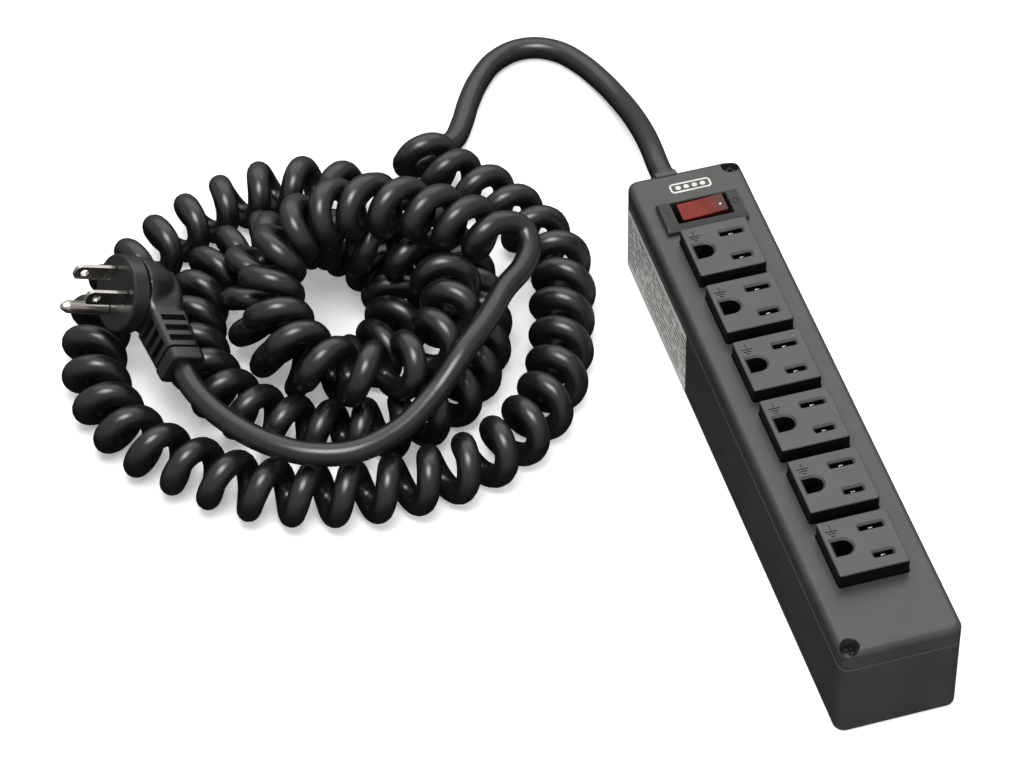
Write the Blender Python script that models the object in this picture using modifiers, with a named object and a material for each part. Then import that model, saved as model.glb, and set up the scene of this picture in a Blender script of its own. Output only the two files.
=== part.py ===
"""Desk power strip with six outlets, a rocker switch and a curly mains cord.

The strip stands on z = 0 with its centre at the origin. Its length runs along Y, the switch
and the cord are at the +Y end and the outlets' earth holes face -X. Lengths are in metres.
"""
import math

import bmesh
import bpy
from mathutils import Matrix, Vector

MM = 0.001
GAP = 0.3 * MM                      # clearance between neighbouring solids

# Housing
BODY_WIDTH = 44 * MM
BODY_LENGTH = 240 * MM
PARTING_Z = 33 * MM
COVER_TOP_Z = 41.5 * MM
WALL = 2.2 * MM
FLOOR = 2.5 * MM
CORNER_RADIUS = 4 * MM
COVER_EDGE_RADIUS = 3.6 * MM
COVER_CAVITY_LENGTH = 222 * MM
SCREW_X = 18 * MM
SCREW_Y = 116.4 * MM
COUNTERBORE_RADIUS = 3.2 * MM
COUNTERBORE_DEPTH = 2.6 * MM

# Outlets
OUTLET_COUNT = 6
OUTLET_PITCH = 30 * MM
OUTLET_FIRST_Y = 71 * MM
OUTLET_SIZE = (25.4 * MM, 25.0 * MM)
OUTLET_FACE_Z = 47.5 * MM
FLANGE_SIZE = (31 * MM, 29.2 * MM)
FLANGE_THICKNESS = 2 * MM
SLOT_X = 5.1 * MM
SLOT_OFFSET_Y = 6.35 * MM
SLOT_WIDTH = 2.2 * MM
HOT_SLOT_LENGTH = 7.0 * MM
NEUTRAL_SLOT_LENGTH = 8.6 * MM
EARTH_X = -7.1 * MM
EARTH_RADIUS = 3.4 * MM

# Contact strips
STRIP_Z = 26.7 * MM
STRIP_THICKNESS = 1.0 * MM
STRIP_WIDTH = 3.0 * MM
CONTACT_TOP_Z = 35 * MM
LEAF_THICKNESS = 0.8 * MM
STRIP_FAR_Y = 86 * MM
CARRIER_THICKNESS = 2.2 * MM

# Switch
SWITCH_Y = 95.5 * MM
BEZEL_X = (-16.0 * MM, 15.7 * MM)
BEZEL_Y = (87.0 * MM, 102.6 * MM)
BEZEL_TOP_Z = 44.5 * MM
BEZEL_EDGE_Z = 43.4 * MM
ROCKER_OPENING = (21.4 * MM, 11.0 * MM)
ROCKER_HALF_LENGTH = 9.5 * MM
ROCKER_WIDTH = 10.4 * MM
ROCKER_PIVOT_Z = 40 * MM
ROCKER_HALF_SWING = math.radians(11)
SWITCH_BODY_X = 12.5 * MM
SWITCH_BODY_Y = (88.7 * MM, 101.9 * MM)
SWITCH_BODY_Z = (23 * MM, 41.5 * MM)
ARM_PIVOT_Z = 27.5 * MM
ARM_TILT = math.radians(6.6)
TERMINAL_X = 8 * MM
TERMINAL_BOTTOM_Z = 14 * MM

# Label
LABEL_Y = (46.7 * MM, 116.0 * MM)
LABEL_Z = (1.6 * MM, 30.5 * MM)
LABEL_THICKNESS = 0.35 * MM

# Cord
CORD_RADIUS = 4.4 * MM
COIL_RADIUS = 12.25 * MM            # outside of the curly part
CORD_EXIT_Z = 18 * MM
GRIP_END_Y = 142 * MM
WIRE_RADIUS = 1.2 * MM

# Plug
PLUG_FACE = Vector((-217.6, 118.7, 42.0)) * MM
PLUG_AXIS = Vector((-0.88, -0.15, 0.45)).normalized()
PLUG_EXIT = Vector((0.11, -0.985, -0.11))
PLUG_RADIUS = 14.5 * MM
PLUG_DEPTH = 22.5 * MM
PLUG_EXIT_DEPTH = 14 * MM
PLUG_RELIEF_LENGTH = 38 * MM
BLADE_SIZE = (6.2 * MM, 1.5 * MM, 16 * MM)
BLADE_SPACING = 12.7 * MM
PIN_RADIUS = 2.4 * MM
PIN_LENGTH = 19 * MM
PIN_OFFSET = -11.9 * MM             # from the blades' middle to the earth pin
CONTACT_OFFSET = 4 * MM             # blades' place on the face, away from the earth pin

# Routes in millimetres, chosen along the lie of the cord
LEAD_ROUTE = [
    (0, 148, 18), (0.6, 156, 17.2), (1.4, 167, 15), (1.8, 178, 12.2), (1.7, 189, 9.2),
    (0.9, 200, 6.5), (-2, 214, 4.8), (-7, 227, 4.4), (-13.5, 236.5, 4.4), (-21.5, 241.5, 4.4),
    (-29.5, 242.3, 4.4), (-39.5, 238.5, 4.4), (-49, 229, 4.4), (-57.3, 216.5, 4.4),
    (-64.5, 205, 4.4), (-72, 202.5, 4.4),
]
COIL_ROUTE = [
    (-83, 197, 12.3), (-84, 190, 12.3), (-79, 175.5, 12.3), (-67, 159, 12.3), (-59, 144, 12.3), (-52, 126, 12.3),
    (-50, 110, 12.3), (-56, 91, 12.3), (-62, 72, 12.3), (-71, 53, 12.3), (-87, 36, 12.3),
    (-107, 26, 12.3), (-127, 23, 12.3), (-149, 24, 12.3), (-170, 29, 12.3), (-190, 39, 12.3),
    (-206, 53, 12.3), (-220, 69, 12.3), (-228, 87, 12.3), (-230, 108, 12.3), (-225, 129, 12.3),
    (-215, 147, 12.3), (-200, 161, 12.3), (-182, 173, 12.3), (-161, 182, 12.3),
    (-139, 184, 12.3), (-121, 177, 12.3), (-108, 165, 12.3), (-96, 148, 12.3),
    (-88, 128, 12.3), (-86, 106, 12.3), (-90, 84, 12.3), (-99, 68, 12.3), (-112, 57, 12.3),
    (-129, 52, 12.3), (-147, 53, 12.3), (-164, 60, 12.3), (-180, 74, 12.3), (-190, 93, 12.3),
    (-191, 116, 12.3), (-183, 137, 12.3), (-171, 151, 12.3), (-155, 158, 12.3),
    (-138, 156, 12.3), (-125, 147, 12.3), (-116, 130, 12.3), (-114, 111, 12.3),
    (-123, 93, 12.3), (-140, 84, 12.3), (-155, 89, 12.6), (-164, 102, 13.5), (-167, 116, 17),
    (-165, 129, 24.5), (-156, 136, 31.5), (-141, 135, 33), (-125, 127, 33), (-110, 117, 33),
    (-100, 104, 33), (-98, 90, 33.5), (-103, 77, 34), (-114, 65, 34), (-129, 58, 34.3),
    (-144, 61, 34.6), (-156, 72, 35), (-162, 87, 36.5), (-163, 102, 41), (-158, 113, 47),
    (-148, 120, 52.5), (-136, 123, 55), (-122, 122, 55.5), (-108, 117, 54.5), (-95, 112, 51),
    (-85, 108, 46.5), (-77.5, 104.5, 42),
]
TAIL_ROUTE = [
    (-67.5, 99, 38.5), (-66.5, 92.5, 39.5), (-71.5, 87.5, 40.5), (-79.5, 81.5, 41),
    (-90, 68, 41.5), (-103, 54, 41.5), (-118, 42, 35), (-135, 32, 31), (-153, 28, 30),
    (-168, 32, 30), (-181, 42, 30), (-191, 55, 30), (-197.5, 68, 30.4),
]
HOT_WIRE = [(-2.6, 113.2, 18.6), (-5, 110, 16), (-8, 103, 10), (-8, 97, 8), (-8, 95.5, 10),
            (-8, 95.5, 13.7)]
NEUTRAL_WIRE = [(2.6, 113.2, 18.6), (8, 108, 14), (14, 100, 8.5), (13, 92, 6.5), (9, 86.5, 9),
                (7, 84.5, 15), (7, 84.5, 26.4)]
EARTH_WIRE = [(0, 113.2, 14.8), (-5, 108, 6), (-13, 100, 4.6), (-14.5, 92, 6), (-9.5, 86, 10),
              (-7.1, 84.5, 16), (-7.1, 84.5, 26.4)]
SWITCHED_WIRE = [(0, 95.5, 13.7), (0, 95.5, 9), (0.6, 92, 5.2), (2.6, 87, 7), (3.4, 84.5, 13),
                 (3.4, 84.5, 26.4)]


def new_collection(name):
    collection = bpy.data.collections.new(name)
    bpy.context.scene.collection.children.link(collection)
    return collection


def make_material(name, colour, roughness, metallic=0.0):
    material = bpy.data.materials.new(name)
    material.use_nodes = True
    shader = material.node_tree.nodes["Principled BSDF"]
    shader.inputs["Base Color"].default_value = (*colour, 1)
    shader.inputs["Roughness"].default_value = roughness
    shader.inputs["Metallic"].default_value = metallic
    material.diffuse_color = (*colour, 1)
    return material


def add_part(name, data, material, location=(0, 0, 0), collection=None):
    part = bpy.data.objects.new(name, data)
    part.location = location
    data.materials.append(material)
    (collection or PARTS).objects.link(part)
    return part


def as_tool(part):
    """Turn an object into a hidden Boolean operand."""
    part.hide_render = True
    part.display_type = "WIRE"
    for collection in part.users_collection:
        collection.objects.unlink(part)
    CUTTERS.objects.link(part)
    return part


def combine(part, other, operation):
    modifier = part.modifiers.new(operation.title(), "BOOLEAN")
    modifier.operation = operation
    modifier.object = as_tool(other)
    return part


def cut(part, *others):
    for other in others:
        combine(part, other, "DIFFERENCE")
    return part


def join(part, *others):
    for other in others:
        combine(part, other, "UNION")
    return part


def box(name, material, x, y, z, upright_radius=0.0, top_radius=0.0, bottom_radius=0.0):
    """A box between the given (low, high) pairs, its edges rounded where asked."""
    mesh = bpy.data.meshes.new(name)
    bm = bmesh.new()
    bmesh.ops.create_cube(bm, size=1)
    size = Vector((x[1] - x[0], y[1] - y[0], z[1] - z[0]))
    bmesh.ops.scale(bm, vec=size, verts=bm.verts)
    if upright_radius:
        upright = [e for e in bm.edges if abs(e.verts[0].co.z - e.verts[1].co.z) > size.z / 2]
        bmesh.ops.bevel(bm, geom=upright, offset=upright_radius, segments=4, profile=0.5,
                        affect="EDGES")
    for radius, side in ((top_radius, 1), (bottom_radius, -1)):
        if radius:
            rim = [e for e in bm.edges
                   if all(v.co.z * side > size.z / 2 - 1e-6 for v in e.verts)]
            bmesh.ops.bevel(bm, geom=rim, offset=radius, segments=3, profile=0.5,
                            affect="EDGES")
    bm.to_mesh(mesh)
    bm.free()
    centre = Vector((sum(x), sum(y), sum(z))) / 2
    return add_part(name, mesh, material, centre)


def cylinder(name, material, centre, radius, depth, axis="Z", segments=24, tip_radius=None):
    mesh = bpy.data.meshes.new(name)
    bm = bmesh.new()
    turn = {"Z": Matrix(), "X": Matrix.Rotation(math.pi / 2, 4, "Y"),
            "Y": Matrix.Rotation(-math.pi / 2, 4, "X")}[axis]
    bmesh.ops.create_cone(bm, cap_ends=True, segments=segments, radius1=radius,
                          radius2=tip_radius or radius, depth=depth, matrix=turn)
    bm.to_mesh(mesh)
    bm.free()
    mesh.shade_smooth()
    mesh.set_sharp_from_angle(angle=math.radians(40))
    return add_part(name, mesh, material, centre)


def turned(name, material, profile, steps=20):
    """A profile of (radius, height) points from top to bottom, turned about Z."""
    mesh = bpy.data.meshes.new(name)
    bm = bmesh.new()
    points = [bm.verts.new((radius, 0, height)) for radius, height in profile]
    for first, second in zip(points, points[1:]):
        bm.edges.new((first, second))
    bm.to_mesh(mesh)
    bm.free()
    part = add_part(name, mesh, material)
    screw = part.modifiers.new("Turn", "SCREW")
    screw.steps = screw.render_steps = steps
    screw.use_merge_vertices = True
    screw.merge_threshold = 0.00001
    return part


def extruded(name, material, outline, thickness):
    """A flat outline in its own XY plane, as thick as asked along its Z."""
    curve = bpy.data.curves.new(name, "CURVE")
    curve.dimensions = "2D"
    curve.fill_mode = "BOTH"
    curve.extrude = thickness / 2
    spline = curve.splines.new("POLY")
    spline.points.add(len(outline) - 1)
    for point, (x, y) in zip(spline.points, outline):
        point.co = (x, y, 0, 1)
    spline.use_cyclic_u = True
    return add_part(name, curve, material)


def to_mesh(curve_part):
    """The same object as a closed mesh, which a Boolean can work on."""
    bpy.context.view_layer.update()
    graph = bpy.context.evaluated_depsgraph_get()
    mesh = bpy.data.meshes.new_from_object(curve_part.evaluated_get(graph))
    bm = bmesh.new()
    bm.from_mesh(mesh)
    bmesh.ops.remove_doubles(bm, verts=bm.verts, dist=0.000001)
    bm.to_mesh(mesh)
    bm.free()
    name = curve_part.name
    matrix = curve_part.matrix_world.copy()
    collection = curve_part.users_collection[0]
    bpy.data.objects.remove(curve_part)
    part = bpy.data.objects.new(name, mesh)
    part.matrix_world = matrix
    collection.objects.link(part)
    return part


def smooth_path(route, spacing, scale=MM):
    """Points at an even spacing along a smooth curve through the route's points."""
    points = [Vector(p) * scale for p in route]
    steps = [(b - a).length for a, b in zip(points, points[1:])]
    slopes = [(b - a) / d for a, b, d in zip(points, points[1:], steps)]
    tangents = [slopes[0]]
    for before, after, left, right in zip(slopes, slopes[1:], steps, steps[1:]):
        tangents.append((before * right + after * left) / (left + right))
    tangents.append(slopes[-1])
    dense = []
    for i, step in enumerate(steps):
        for k in range(16):
            t = k / 16
            dense.append(points[i] * (2 * t**3 - 3 * t**2 + 1)
                         + tangents[i] * step * (t**3 - 2 * t**2 + t)
                         + points[i + 1] * (3 * t**2 - 2 * t**3)
                         + tangents[i + 1] * step * (t**3 - t**2))
    dense.append(points[-1])
    lengths = [0.0]
    for a, b in zip(dense, dense[1:]):
        lengths.append(lengths[-1] + (b - a).length)
    count = max(2, round(lengths[-1] / spacing))
    path, j = [], 0
    for n in range(count + 1):
        target = lengths[-1] * n / count
        while j < len(dense) - 2 and lengths[j + 1] < target:
            j += 1
        share = (target - lengths[j]) / (lengths[j + 1] - lengths[j])
        path.append(dense[j].lerp(dense[j + 1], min(share, 1.0)))
    return path


def tube(name, material, path, radius, resolution=2):
    curve = bpy.data.curves.new(name, "CURVE")
    curve.dimensions = "3D"
    curve.bevel_depth = radius
    curve.bevel_resolution = resolution
    curve.use_fill_caps = True
    spline = curve.splines.new("POLY")
    spline.points.add(len(path) - 1)
    for point, place in zip(spline.points, path):
        point.co = (*place, 1)
    return add_part(name, curve, material)


def outlet_centres():
    return [OUTLET_FIRST_Y - OUTLET_PITCH * i for i in range(OUTLET_COUNT)]


def symmetric(half):
    return (-half, half)


def about(centre, size):
    return (centre - size / 2, centre + size / 2)


def screw_places():
    return [(SCREW_X, SCREW_Y), (-SCREW_X, -SCREW_Y)]


def make_bottom_housing():
    inner_x = BODY_WIDTH / 2 - WALL
    inner_y = BODY_LENGTH / 2 - WALL
    housing = box("bottom_housing", SHELL, symmetric(BODY_WIDTH / 2), symmetric(BODY_LENGTH / 2),
                  (0, PARTING_Z), upright_radius=CORNER_RADIUS, bottom_radius=0.8 * MM)
    cut(housing, box("housing_cavity", SHELL, symmetric(inner_x), symmetric(inner_y),
                     (FLOOR, PARTING_Z + 5 * MM), upright_radius=CORNER_RADIUS - WALL))
    for i, (x, y) in enumerate(screw_places()):
        height = PARTING_Z - FLOOR / 2
        middle = FLOOR / 2 + height / 2
        join(housing, cylinder(f"boss_{i}", SHELL, (x, y, middle), 3.2 * MM, height))
        cut(housing, cylinder(f"boss_hole_{i}", SHELL, (x, y, 26 * MM), 1.7 * MM, 20 * MM))
    cut(housing, cylinder("grip_hole", SHELL, (0, BODY_LENGTH / 2, CORD_EXIT_Z), 6 * MM,
                          12 * MM, axis="Y"))
    skin = BODY_WIDTH / 2
    cut(housing, box("label_recess", SHELL, (-skin - 1 * MM, -skin + LABEL_THICKNESS + GAP),
                     (LABEL_Y[0] - GAP, LABEL_Y[1] + GAP), (LABEL_Z[0] - GAP, LABEL_Z[1] + GAP)))


def make_top_cover():
    cover = box("top_cover", SHELL, symmetric(BODY_WIDTH / 2), symmetric(BODY_LENGTH / 2),
                (PARTING_Z + GAP, COVER_TOP_Z), upright_radius=CORNER_RADIUS,
                top_radius=COVER_EDGE_RADIUS)
    cut(cover, box("cover_cavity", SHELL, symmetric(BODY_WIDTH / 2 - WALL),
                   symmetric(COVER_CAVITY_LENGTH / 2),
                   (PARTING_Z - 5 * MM, COVER_TOP_Z - WALL)))
    through = (PARTING_Z, COVER_TOP_Z + 5 * MM)
    for i, y in enumerate(outlet_centres()):
        cut(cover, box(f"outlet_opening_{i}", SHELL, about(0, OUTLET_SIZE[0] + 2 * GAP),
                       about(y, OUTLET_SIZE[1] + 2 * GAP), through))
    cut(cover, box("switch_opening", SHELL, symmetric(SWITCH_BODY_X + GAP),
                   (SWITCH_BODY_Y[0] - GAP, SWITCH_BODY_Y[1] + GAP), through))
    for i, (x, y) in enumerate(screw_places()):
        cut(cover,
            cylinder(f"screw_hole_{i}", SHELL, (x, y, 38 * MM), 1.7 * MM, 20 * MM),
            cylinder(f"counterbore_{i}", SHELL, (x, y, COVER_TOP_Z), COUNTERBORE_RADIUS,
                     2 * COUNTERBORE_DEPTH))


def make_screws():
    seat = COVER_TOP_Z - COUNTERBORE_DEPTH + GAP
    for i, (x, y) in enumerate(screw_places()):
        screw = turned(f"cover_screw_{i + 1}", STEEL,
                       [(0, 1.6 * MM), (2.0 * MM, 1.5 * MM), (2.8 * MM, 0.9 * MM), (2.8 * MM, 0),
                        (1.35 * MM, 0), (1.35 * MM, -19 * MM), (0, -20.5 * MM)], steps=16)
        screw.location = (x, y, seat)


def make_outlets():
    """Six outlet faces that share one mesh: a raised plate on a flange under the cover."""
    flange_top = COVER_TOP_Z - WALL - GAP
    plate = box("outlet_shape", PLATE, symmetric(OUTLET_SIZE[0] / 2),
                symmetric(OUTLET_SIZE[1] / 2), (flange_top - 1 * MM, OUTLET_FACE_Z),
                upright_radius=0.8 * MM, top_radius=0.6 * MM)
    join(plate, box("outlet_flange", PLATE, symmetric(FLANGE_SIZE[0] / 2),
                    symmetric(FLANGE_SIZE[1] / 2), (flange_top - FLANGE_THICKNESS, flange_top)))
    through = (30 * MM, 55 * MM)
    cut(plate,
        box("hot_slot", PLATE, about(SLOT_X, HOT_SLOT_LENGTH),
            about(-SLOT_OFFSET_Y, SLOT_WIDTH), through),
        box("neutral_slot", PLATE, about(SLOT_X, NEUTRAL_SLOT_LENGTH),
            about(SLOT_OFFSET_Y, SLOT_WIDTH), through),
        cylinder("earth_round", PLATE, (EARTH_X, 0, 42 * MM), EARTH_RADIUS, 25 * MM),
        box("earth_square", PLATE, (EARTH_X - EARTH_RADIUS, EARTH_X),
            symmetric(EARTH_RADIUS - 0.03 * MM), through))
    shared = to_mesh(plate)
    mesh = shared.data
    mesh.transform(Matrix.Translation(shared.location))
    bpy.data.objects.remove(shared)
    for i, y in enumerate(outlet_centres()):
        outlet = bpy.data.objects.new(f"outlet_{i + 1}", mesh)
        outlet.location = (0, y, 0)
        PARTS.objects.link(outlet)


def contact_strip(name, x, contact_offset, blade_gap):
    """A strip with a pair of contact leaves under each outlet, as an outline in Y and Z."""
    top = STRIP_Z + STRIP_THICKNESS
    near_y = outlet_centres()[-1] - 12 * MM
    outline = [(near_y, STRIP_Z), (STRIP_FAR_Y, STRIP_Z), (STRIP_FAR_Y, top)]
    inner, outer = blade_gap / 2, blade_gap / 2 + LEAF_THICKNESS
    for centre in outlet_centres():
        y = centre + contact_offset
        outline += [(y + outer, top), (y + outer, CONTACT_TOP_Z), (y + inner, CONTACT_TOP_Z),
                    (y + inner, top), (y - inner, top), (y - inner, CONTACT_TOP_Z),
                    (y - outer, CONTACT_TOP_Z), (y - outer, top)]
    outline.append((near_y, top))
    strip = extruded(name, BRASS, outline, STRIP_WIDTH)
    strip.location = (x, 0, 0)
    strip.rotation_euler = (math.pi / 2, 0, math.pi / 2)
    return strip


def make_carrier():
    top = STRIP_Z - GAP
    plate_z = (top - CARRIER_THICKNESS, top)
    far, near = 80 * MM, -92 * MM
    carrier = box("bus_carrier", PALE, symmetric(16 * MM), (near, far), plate_z)
    for i, y in enumerate((near + 6 * MM, (near + far) / 2, far - 6 * MM)):
        join(carrier, box(f"carrier_leg_{i}", PALE, symmetric(14 * MM), about(y, 5 * MM),
                          (FLOOR + GAP, top - CARRIER_THICKNESS / 2)))


def make_switch_case():
    bezel = box("switch_bezel", SWITCH, BEZEL_X, BEZEL_Y, (COVER_TOP_Z + GAP, BEZEL_TOP_Z))
    bezel_height = BEZEL_TOP_Z - BEZEL_EDGE_Z
    chamfer = bezel.modifiers.new("Flanks", "BEVEL")
    chamfer.width = bezel_height
    chamfer.segments = 1
    chamfer.limit_method = "WEIGHT"
    weights = bezel.data.attributes.new("bevel_weight_edge", "FLOAT", "EDGE")
    for edge in bezel.data.edges:
        ends = [bezel.data.vertices[v].co.z for v in edge.vertices]
        weights.data[edge.index].value = 1.0 if min(ends) > 0 else 0.0
    opening = (symmetric(ROCKER_OPENING[0] / 2), about(SWITCH_Y, ROCKER_OPENING[1]))
    cut(bezel, box("bezel_opening", SWITCH, *opening, (35 * MM, 50 * MM)))

    case = box("switch_body", SWITCH, symmetric(SWITCH_BODY_X), SWITCH_BODY_Y, SWITCH_BODY_Z)
    cut(case, box("switch_cavity", SWITCH, *opening, (SWITCH_BODY_Z[0] + 2 * MM, 50 * MM)),
        cylinder("pivot_hole", SWITCH, (0, SWITCH_Y, ROCKER_PIVOT_Z), 1.2 * MM, 20 * MM, "Y"))
    for i, x in enumerate((-TERMINAL_X, 0, TERMINAL_X)):
        cut(case, box(f"terminal_hole_{i}", SWITCH, about(x, 2.2 * MM), about(SWITCH_Y, 5.4 * MM),
                      (20 * MM, 26 * MM)))


def make_rocker():
    """The rocker, its plunger and its spring, drawn level about the pivot and then tipped."""
    pivot = Vector((0, SWITCH_Y, ROCKER_PIVOT_Z))
    half = ROCKER_HALF_LENGTH
    outline = [(-half, 5 * MM), (0, 4 * MM), (half, 5 * MM), (half - 0.6 * MM, -1 * MM),
               (2.8 * MM, -4 * MM), (2.8 * MM, -8 * MM), (-2.8 * MM, -8 * MM),
               (-2.8 * MM, -4 * MM), (-half + 0.6 * MM, -1 * MM)]
    slab = extruded("rocker", ROCKER_RED, outline, ROCKER_WIDTH)
    slab.rotation_euler = (math.pi / 2, 0, 0)
    rocker = to_mesh(slab)
    rocker.data.transform(rocker.matrix_world)
    rocker.matrix_world = Matrix()
    join(rocker, cylinder("rocker_pins", ROCKER_RED, (0, 0, 0), 0.9 * MM, 12.6 * MM, "Y", 16))
    cut(rocker, cylinder("plunger_bore", ROCKER_RED, (0, 0, -6 * MM), 1.9 * MM, 12 * MM,
                         segments=16))
    plunger = turned("rocker_plunger", PALE,
                     [(0, -5.5 * MM), (1.5 * MM, -5.5 * MM), (1.5 * MM, -10.5 * MM),
                      (0.9 * MM, -11.5 * MM), (0, -11.8 * MM)], steps=16)
    turns, steps = 4, 12
    helix = [Vector((1.2 * MM * math.cos(2 * math.pi * k / steps),
                     1.2 * MM * math.sin(2 * math.pi * k / steps),
                     (-5.0 + 4.1 * k / (turns * steps)) * MM)) for k in range(turns * steps + 1)]
    spring = tube("plunger_spring", STEEL, helix, 0.18 * MM)
    for part in (rocker, plunger, spring):
        part.location = pivot
        part.rotation_euler = (0, -ROCKER_HALF_SWING, 0)
    for tool in CUTTERS.objects:
        if tool.name in ("rocker_pins", "plunger_bore"):
            tool.parent = rocker


def make_contacts():
    arm = box("contact_arm", BRASS, symmetric(8.6 * MM), symmetric(2 * MM),
              symmetric(0.4 * MM))
    arm.location = (0, SWITCH_Y, ARM_PIVOT_Z)
    arm.rotation_euler = (0, ARM_TILT, 0)
    tops = {"terminal_line": (-TERMINAL_X, 25.7 * MM), "terminal_load": (0, 26.7 * MM),
            "terminal_neutral": (TERMINAL_X, 25.7 * MM)}
    for name, (x, top) in tops.items():
        box(name, BRASS, about(x, 1.4 * MM), about(SWITCH_Y, 4.6 * MM), (TERMINAL_BOTTOM_Z, top))
    cylinder("lamp", GLASS, (8.5 * MM, SWITCH_Y, 31.5 * MM), 1.3 * MM, 5 * MM, "Z", 16,
             tip_radius=0.9 * MM)


def make_label():
    skin = -BODY_WIDTH / 2
    box("rating_label", LABEL, (skin, skin + LABEL_THICKNESS), LABEL_Y, LABEL_Z)


def make_wires():
    routes = {"wire_hot": HOT_WIRE, "wire_neutral": NEUTRAL_WIRE, "wire_ground": EARTH_WIRE,
              "wire_switched": SWITCHED_WIRE}
    for name, route in routes.items():
        tube(name, WIRE[name], smooth_path(route, 3 * MM), WIRE_RADIUS)


def make_cord_grip():
    """Collar, neck in the wall and a tapered, ribbed sleeve, along +Y."""
    wall_y = BODY_LENGTH / 2
    rib_count, rib_start, rib_pitch = 4, 6.6 * MM, 4.0 * MM
    profile = [(0, GRIP_END_Y - wall_y), (4.6 * MM, GRIP_END_Y - wall_y)]
    for i in reversed(range(rib_count)):
        base = rib_start + rib_pitch * i
        radius = (6.2 - 0.3 * i) * MM
        profile += [(radius, base + 2.4 * MM), (radius, base), (radius - 1.2 * MM, base),
                    (radius - 1.2 * MM, base - 1.6 * MM)]
    profile += [(6.8 * MM, 5.0 * MM), (6.8 * MM, GAP), (5.6 * MM, GAP),
                (5.6 * MM, -WALL - GAP), (7 * MM, -WALL - GAP), (7 * MM, -5.5 * MM),
                (0, -5.5 * MM)]
    grip = turned("cord_grip", CORD, profile, steps=20)
    grip.location = (0, wall_y, CORD_EXIT_Z)
    grip.rotation_euler = (-math.pi / 2, 0, 0)


def make_cord():
    coil = smooth_path(COIL_ROUTE, 16 * MM)
    start = (coil[1] - coil[0]).normalized()
    end = (coil[-1] - coil[-2]).normalized()
    lead = [Vector((0, GRIP_END_Y + GAP, CORD_EXIT_Z))]
    lead += smooth_path(LEAD_ROUTE, 9 * MM)
    foot = coil[0] - Vector((0, 0, COIL_RADIUS - CORD_RADIUS))
    beside = Vector((-start.y, start.x, 0))
    lead += [foot - start * 7 * MM + beside * 3.5 * MM, foot - start * 3 * MM, foot - start * GAP]
    relief_end = plug_relief_end()
    exit_way = PLUG_EXIT.normalized()
    tail = [coil[-1] + end * GAP, coil[-1] + end * 5 * MM]
    tail += smooth_path(TAIL_ROUTE, 8 * MM)
    tail += [relief_end + exit_way * 5 * MM, relief_end + exit_way * GAP]
    tube("cord_lead", CORD, lead, CORD_RADIUS, resolution=3)
    tube("curly_cord", CORD, coil, COIL_RADIUS)
    tube("cord_tail", CORD, tail, CORD_RADIUS, resolution=3)


def plug_exit_way():
    """The cord's way out of the plug, square to the plug's axis."""
    way = PLUG_EXIT - PLUG_EXIT.dot(PLUG_AXIS) * PLUG_AXIS
    return way.normalized()


def plug_relief_end():
    return PLUG_FACE - PLUG_AXIS * PLUG_EXIT_DEPTH + plug_exit_way() * PLUG_RELIEF_LENGTH


def plug_frame():
    """Axes of the plug: X from the earth pin, Y against the cord's way out, Z out of the face."""
    across = -plug_exit_way()
    up = across.cross(PLUG_AXIS)
    rotation = Matrix((up, across, PLUG_AXIS)).transposed()
    return Matrix.Translation(PLUG_FACE) @ rotation.to_4x4()


def make_blade(name, y, frame):
    """A flat blade with chamfered corners at its tip and a hole through it."""
    half, corner = BLADE_SIZE[0] / 2, 1.5 * MM
    tip = GAP + BLADE_SIZE[2]
    middle = CONTACT_OFFSET
    outline = [(middle - half, GAP), (middle + half, GAP), (middle + half, tip - corner),
               (middle + half - corner, tip), (middle - half + corner, tip),
               (middle - half, tip - corner)]
    blank = extruded(name, NICKEL, outline, BLADE_SIZE[1])
    blank.rotation_euler = (math.pi / 2, 0, 0)
    blade = to_mesh(blank)
    blade.matrix_world = Matrix.Translation((0, y, 0)) @ blade.matrix_world
    hole = cylinder(f"{name}_hole", NICKEL, (middle, y, 12.3 * MM), 1.6 * MM, 6 * MM, "Y", 16)
    cut(blade, hole)
    blade.parent = hole.parent = frame


def make_plug():
    frame = bpy.data.objects.new("plug_frame", None)
    PARTS.objects.link(frame)
    frame.matrix_world = plug_frame()
    body = turned("plug_body", CORD,
                  [(0, 0), (13.7 * MM, 0), (PLUG_RADIUS, -0.8 * MM), (PLUG_RADIUS, -7 * MM),
                   (13.6 * MM, -8 * MM), (12.6 * MM, -15 * MM), (10.5 * MM, -20 * MM),
                   (7.5 * MM, -PLUG_DEPTH), (0, -PLUG_DEPTH)], steps=32)
    length = PLUG_RELIEF_LENGTH
    profile = [(0, length), (4.9 * MM, length)]
    for i in reversed(range(5)):
        base = 16 * MM + 4.2 * MM * i
        radius = (6.6 - 0.28 * i) * MM
        profile += [(radius, base + 2.6 * MM), (radius, base), (radius - 1.2 * MM, base),
                    (radius - 1.2 * MM, base - 1.6 * MM)]
    profile += [(7.4 * MM, 13.5 * MM), (7.4 * MM, 2 * MM), (0, 2 * MM)]
    relief = turned("plug_relief", CORD, profile, steps=16)
    relief.location = (0, 0, -PLUG_EXIT_DEPTH)
    relief.rotation_euler = (math.pi / 2, 0, 0)
    relief.parent = frame
    join(body, relief)
    body.parent = frame
    for side, name in ((1, "plug_blade_hot"), (-1, "plug_blade_neutral")):
        make_blade(name, side * BLADE_SPACING / 2, frame)
    pin = turned("plug_ground_pin", NICKEL,
                 [(0, GAP + PIN_LENGTH), (1.0 * MM, GAP + PIN_LENGTH - 0.3 * MM),
                  (PIN_RADIUS, GAP + PIN_LENGTH - 2.2 * MM), (PIN_RADIUS, GAP), (0, GAP)], steps=20)
    pin.location = (CONTACT_OFFSET + PIN_OFFSET, 0, 0)
    pin.parent = frame


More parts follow.
